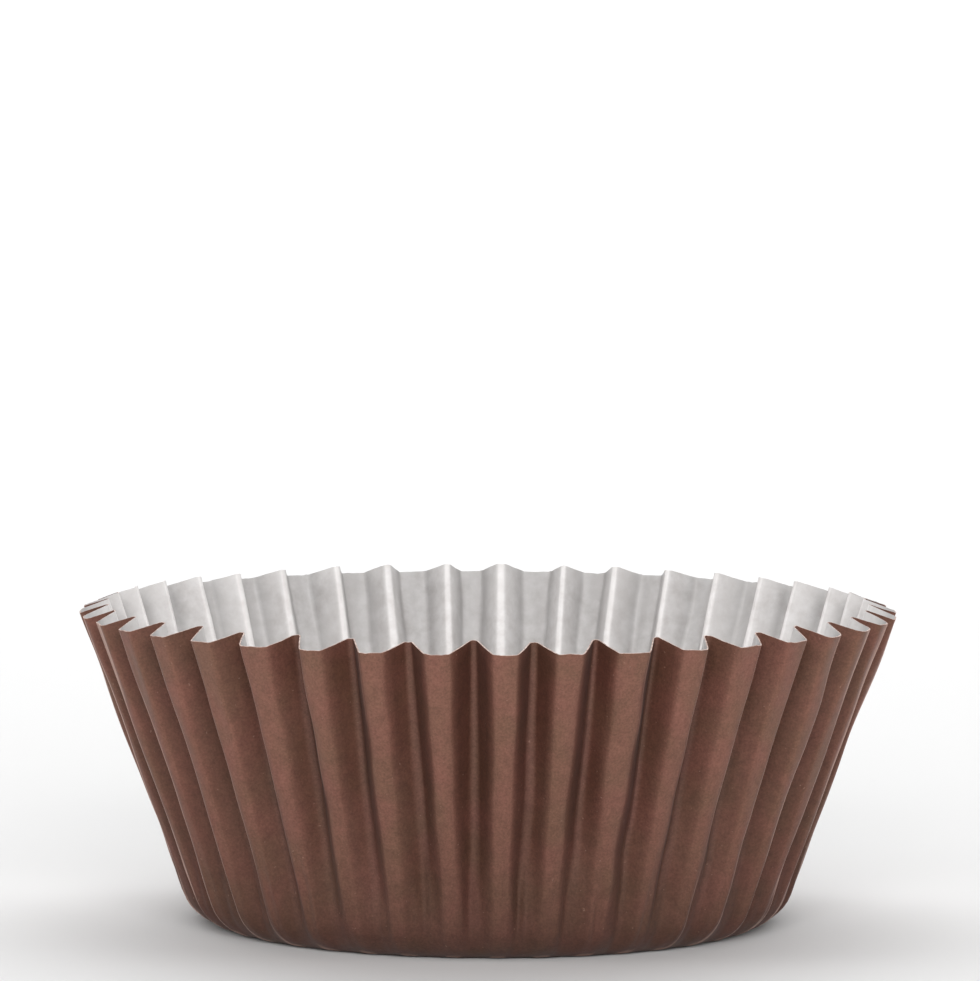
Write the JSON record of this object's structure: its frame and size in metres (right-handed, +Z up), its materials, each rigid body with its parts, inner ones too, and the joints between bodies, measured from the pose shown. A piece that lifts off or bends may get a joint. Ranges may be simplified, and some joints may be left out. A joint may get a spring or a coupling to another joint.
{
  "type": "cupcake liner",
  "caption": "Pleated paper baking cup: one coated sheet pressed into a flat round base and a flared, fluted wall, brown outside and white inside.",
  "frame": {"origin": "centre of the base's underside, on the table", "axes": "+Z up the cup's axis from the base to the open rim; an inner fold of the wall faces each way along X and Y"},
  "size_m": [0.0698, 0.0698, 0.0276],
  "materials": {
    "brown_paper": "satin"
  },
  "bodies": {
    "root": {"liner": "brown_paper"}
  },
  "joints": []
}
